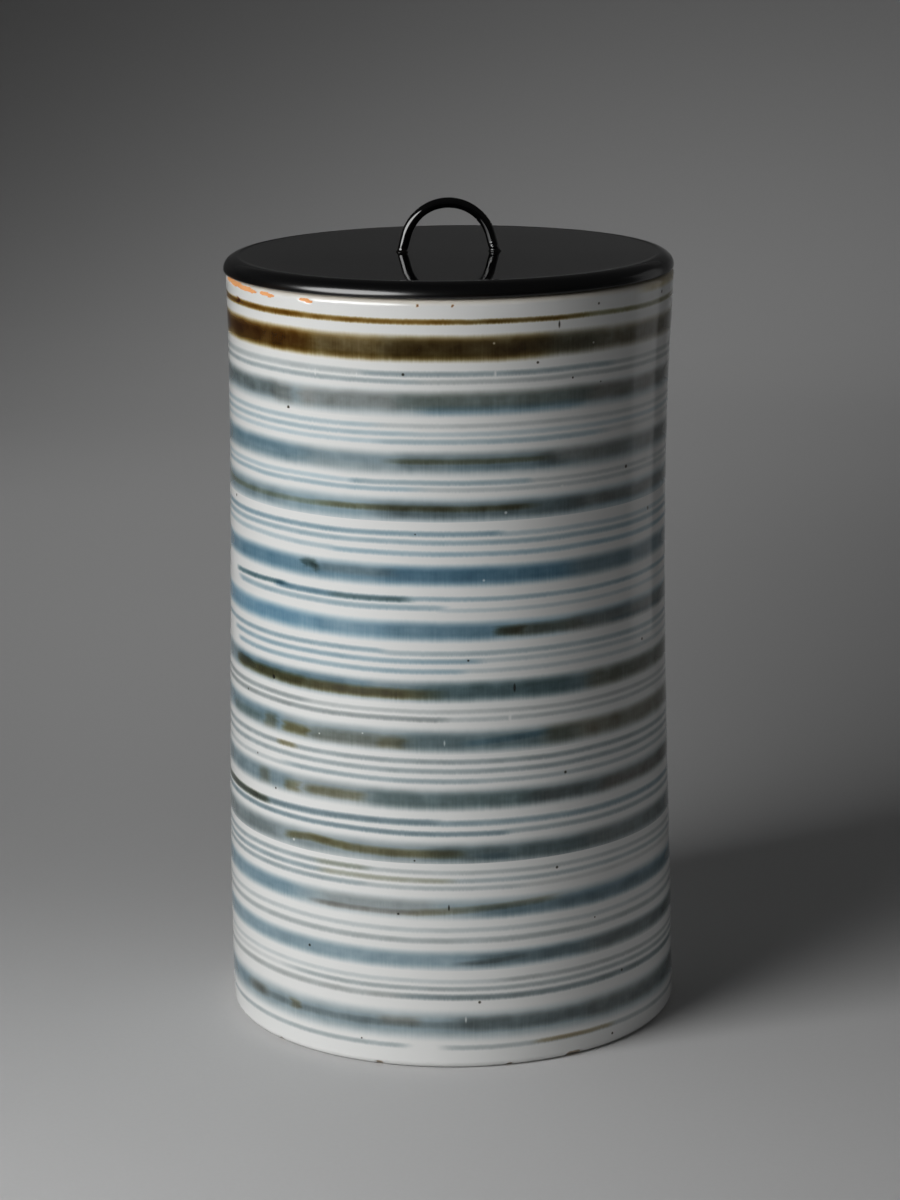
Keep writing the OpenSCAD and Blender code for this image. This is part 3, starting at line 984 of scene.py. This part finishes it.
def porcelain(name, low, high):
    """Clear glossy glaze on white porcelain, over the rings that are painted between two heights, with
    bare clay where the glaze is off."""
    nodes = Nodes(name)
    place = nodes.place()
    x, y, z = nodes.split(place)
    bare = nodes.attribute("bare")

    # The angle runs from -90 at the left to 90 at the right, on the front and again on the back
    bowed = nodes.math("MULTIPLY_ADD", z, 1 / BOW_HEIGHT, -1.0)
    bowed = nodes.math("MULTIPLY_ADD", nodes.math("MULTIPLY", bowed, bowed), BOW, -BOW)
    across = nodes.math("SUBTRACT", x, bowed)
    turn = nodes.math("ARCTAN2", across, nodes.math("ABSOLUTE", y))
    angle = nodes.math("MULTIPLY", turn, 180 / math.pi)

    # The brush wavers, and the pigment runs down a little in the glaze
    waver = nodes.noise(place, (45, 45, 20), detail=1.0)
    streaks = nodes.noise(place, (0.6, 0.6, 12))
    along = nodes.noise(place, (14, 14, 1.6))
    blotches = nodes.noise(place, (7, 7, 5), detail=3.0)
    height = nodes.math("MULTIPLY_ADD", across, RING_TILT, z)
    height = nodes.moved(height, waver, BRUSH_WAVER)
    height = nodes.moved(height, streaks, PIGMENT_RUN)
    angle = nodes.moved(angle, along, END_STRAY)

    # Cobalt lies a little unevenly, and iron and ochre clot more
    cobalt, iron, ochre = laid_pigments(nodes, within(STROKES, low, high), angle, height)
    blotchy = nodes.between(blotches, 0.7, 1.3)
    streaky = nodes.between(streaks, 0.87, 1.13)
    uneven = nodes.math("MULTIPLY", blotchy, streaky)
    cobalt = nodes.math("MULTIPLY", cobalt, uneven)
    clotted = nodes.math("MULTIPLY", uneven, nodes.between(blotches, 0.75, 1.25))
    iron = nodes.math("MULTIPLY", iron, clotted)
    ochre = nodes.math("MULTIPLY", ochre, clotted)

    # Specks add pigment, and pinholes lose most of it
    round_specks = spotted(nodes, place, within(DARK_SPOTS, low, high))
    tall_specks = spotted(nodes, place, within(TALL_DARK_SPOTS, low, high), TALLNESS)
    round_pinholes = spotted(nodes, place, within(PINHOLES, low, high))
    tall_pinholes = spotted(nodes, place, within(TALL_PINHOLES, low, high), TALLNESS)
    specks = nodes.math("ADD", round_specks, tall_specks)
    pinholes = nodes.math("ADD", round_pinholes, tall_pinholes)
    held = nodes.math("MULTIPLY_ADD", pinholes, -PINHOLE_LOSS, 1.0)
    cobalt = nodes.math("MULTIPLY_ADD", cobalt, held, nodes.math("MULTIPLY", specks, SPECK_COBALT))
    iron = nodes.math("MULTIPLY_ADD", iron, held, nodes.math("MULTIPLY", specks, SPECK_IRON))
    ochre = nodes.math("MULTIPLY", ochre, held)
    glaze = glaze_colour(nodes, cobalt, iron, ochre)

    # The rim's edge is worn to cream, with painted shade from the lid, and bare clay shows where the
    # glaze is off
    worn_and_shaded_rim = nodes.step(z, JAR_TOP - RIM_SHADE_START, JAR_TOP - RIM_SHADE_FULL)
    glaze = nodes.mix(nodes.math("MULTIPLY", worn_and_shaded_rim, RIM_SHADE_AND_WEAR), glaze, RIM_SHADED_CREAM)
    grain = nodes.noise(place, (0.5, 0.5, 0.5), detail=3.0)
    clay = clay_colour(nodes, place, z)
    ragged_bare = nodes.step(nodes.moved(bare, grain, RAGGED_EDGE), 0.4, 0.6)
    colour = nodes.mix(ragged_bare, glaze, clay)

    ripple = nodes.noise(place, (2.4, 2.4, 2.4))
    dents = nodes.math("MULTIPLY", pinholes, -PINHOLE_RELIEF)
    relief = nodes.math("MULTIPLY_ADD", ripple, GLAZE_RIPPLE, dents)
    clay_grain = nodes.math("MULTIPLY", grain, ragged_bare)
    relief = nodes.math("MULTIPLY_ADD", clay_grain, CLAY_RELIEF, relief)
    glaze_roughness = nodes.between(blotches, 0.08, 0.16)
    roughness = nodes.math("MULTIPLY_ADD", ragged_bare, CLAY_ROUGHNESS, glaze_roughness)
    return nodes.finished(colour, roughness, relief, RELIEF_DEPTH)


def jar_materials():
    """The material of each zone from the foot up, and then the plain one."""
    lows = [0] + ZONE_EDGES
    highs = ZONE_EDGES + [JAR_TOP]
    painted = [porcelain(f"painted_porcelain_{i + 1}", lows[i], highs[i]) for i in range(len(lows))]
    return painted + [porcelain("plain_porcelain", 0, 0)]


LACQUER_BLACK = (0.0015, 0.0015, 0.0017, 1)
LACQUER_BROWN = (0.012, 0.007, 0.004, 1)
LACQUER_DUST = (0.05, 0.048, 0.045, 1)
DUST_COVER = 0.25
DUST_ROUGHNESS = 0.12
EDGE_ROUGHNESS = 0.16
LACQUER_RELIEF = 0.01


def black_lacquer(name, wear, edge):
    """Polished black lacquer with a little dust, worn to brown over the heights of wear and polished less
    flat over those of edge."""
    nodes = Nodes(name)
    place = nodes.place()
    z = nodes.split(place)[2]
    clouds = nodes.noise(place, (16, 16, 16))
    dust = nodes.noise(place, (0.35, 0.35, 0.35))
    waves = nodes.noise(place, (7, 7, 7), detail=1.0)
    specks = nodes.step(dust, 0.70, 0.76)
    worn = nodes.math("MULTIPLY", nodes.step(z, *wear), nodes.step(clouds, 0.45, 0.75))
    colour = nodes.mix(worn, LACQUER_BLACK, LACQUER_BROWN)
    colour = nodes.mix(nodes.math("MULTIPLY", specks, DUST_COVER), colour, LACQUER_DUST)
    roughness = nodes.math("MULTIPLY_ADD", specks, DUST_ROUGHNESS, nodes.between(clouds, 0.03, 0.08))
    roughness = nodes.math("MULTIPLY_ADD", nodes.step(z, *edge), EDGE_ROUGHNESS, roughness)
    return nodes.finished(colour, roughness, waves, LACQUER_RELIEF)


# The pieces
jar = add_piece(jar_mesh(), jar_materials(), "jar", "jar")
lid_lacquer = black_lacquer(
    "lid_lacquer",
    wear=(LID_BOTTOM + 1.5, LID_BOTTOM + 0.5),
    edge=(LID_TOP - 0.4, LID_TOP - 1.4),
)
lid = add_piece(lid_mesh(), [lid_lacquer], "lid", "lid_panel")
drill_tang_holes(lid)
locating_ring = add_piece(locating_ring_mesh(), [lid_lacquer], "lid", "locating_ring")
rod_lacquer = black_lacquer(
    "rod_lacquer",
    wear=(LID_TOP + 2.5, LID_TOP + 0.5),
    edge=(LID_TOP, LID_TOP - 1),
)
handle = add_piece(handle_mesh(), [rod_lacquer], "lid", "handle_loop")


# The stage
FLOOR_RADIUS = 1000
FLAT_SHARE = 0.9
SWEEP_ROUND = 1500
SWEEP_END = -20
SWEEP_STEPS = 32
SWEEP_COLUMNS = 96
FLOOR_GREY = 0.58
PAPER_TOOTH = 0.02
PAPER_ROUGHNESS = 0.9
PAPER_GLOSS = 0.2
WORLD_GREY = 0.044


def paper():
    """Pale grey studio paper with a faint tooth."""
    nodes = Nodes("studio_paper")
    tooth = nodes.noise(nodes.place(), (1.5, 1.5, 1.5))
    shade = nodes.between(tooth, FLOOR_GREY * (1 - PAPER_TOOTH), FLOOR_GREY * (1 + PAPER_TOOTH))
    colour = nodes.colour(shade, shade, shade)
    values = {"Base Color": colour, "Roughness": PAPER_ROUGHNESS, "Specular IOR Level": PAPER_GLOSS}
    nodes.put(nodes.shader, values)
    return nodes.material


def add_sweep():
    """A round floor that curves up into the backdrop on every side."""
    curve = arc((FLOOR_RADIUS, SWEEP_ROUND), SWEEP_ROUND, -90, SWEEP_END, SWEEP_STEPS)
    profile = [(1, 0), (FLAT_SHARE * FLOOR_RADIUS, 0), *curve]
    angle = around(SWEEP_COLUMNS)
    rows = np.array([turned(radius, height, angle) for radius, height in profile])
    mesh = skin("studio_sweep", rows, capped=False)
    mesh.materials.append(paper())
    sweep = bpy.data.objects.new("studio_sweep", mesh)
    bpy.context.scene.collection.objects.link(sweep)


def add_softbox(name, stand, size, aim, watts, spread=180, shape="RECTANGLE",
                diffuse=True, gloss=True, lit=None):
    """A soft light that faces a point and stands at an angle round the jar, a distance and a height. A
    smaller spread stands for a grid on it. It may act on the diffuse or the glossy part alone, or on one
    collection of objects."""
    azimuth, distance, height = stand
    width, tall = size
    data = bpy.data.lights.new(name, "AREA")
    data.shape = shape
    data.size = width * MM
    data.size_y = tall * MM
    data.energy = watts
    data.spread = math.radians(spread)
    turn = math.radians(azimuth)
    place = Vector((distance * math.sin(turn), -distance * math.cos(turn), height))
    light = bpy.data.objects.new(name, data)
    light.location = place * MM
    light.rotation_mode = "QUATERNION"
    light.rotation_quaternion = (Vector(aim) - place).to_track_quat("-Z", "Y")
    light.visible_camera = False
    light.visible_diffuse = diffuse
    light.visible_glossy = gloss
    light.light_linking.receiver_collection = lit
    bpy.context.scene.collection.objects.link(light)


add_sweep()
add_softbox("key", stand=(-48, 700, 387), size=(427, 611), aim=(-45, -265, 18), watts=2.3,
            spread=115, gloss=False)
add_softbox("key_glint", stand=(-50, 740, 450), size=(800, 440), aim=(0, 0, 210), watts=9.0,
            shape="ELLIPSE", diffuse=False)
add_softbox("background_light", stand=(-113, 483, 526), size=(652, 696), aim=(80, 1151, 0), watts=0.84,
            spread=51)
add_softbox("back_card", stand=(118, 500, 200), size=(215, 420), aim=(0, 0, 130), watts=0.054)
add_softbox("lid_card", stand=(180, 1100, 500), size=(1600, 520), aim=(0, 0, 400), watts=0.045,
            diffuse=False)

# The back of the jar has a light of its own that leaves the floor as it is
pieces = bpy.data.collections.new("pieces")
for piece in (jar, lid, locating_ring, handle):
    pieces.objects.link(piece)
add_softbox("back_fill", stand=(175, 900, 450), size=(400, 500), aim=(0, 0, 110), watts=2.2,
            gloss=False, lit=pieces)

world = bpy.data.worlds.new("studio")
world.use_nodes = True
background = world.node_tree.nodes["Background"]
background.inputs["Color"].default_value = (WORLD_GREY, WORLD_GREY, WORLD_GREY, 1)
bpy.context.scene.world = world
bpy.context.scene.view_settings.view_transform = "Standard"

# The camera, worked out from the curves of the rings in the photograph
PHOTO_HEIGHT = 1200
FOCAL_PIXELS = 3336
SENSOR = 36
FAR_CLIP = 20000
CAMERA_PLACE = (-0.25, -975.9, 357.6)
CAMERA_PITCH = 13.484
CAMERA_ROLL = -0.40

camera_data = bpy.data.cameras.new("camera")
camera_data.sensor_width = SENSOR
camera_data.lens = FOCAL_PIXELS / PHOTO_HEIGHT * SENSOR
camera_data.clip_end = FAR_CLIP * MM
camera = bpy.data.objects.new("camera", camera_data)
pitch = Matrix.Rotation(math.radians(90 - CAMERA_PITCH), 4, "X")
roll = Matrix.Rotation(math.radians(CAMERA_ROLL), 4, "Z")
camera.matrix_world = Matrix.Translation([value * MM for value in CAMERA_PLACE]) @ pitch @ roll
bpy.context.scene.collection.objects.link(camera)
bpy.context.scene.camera = camera

bpy.context.view_layer.update()
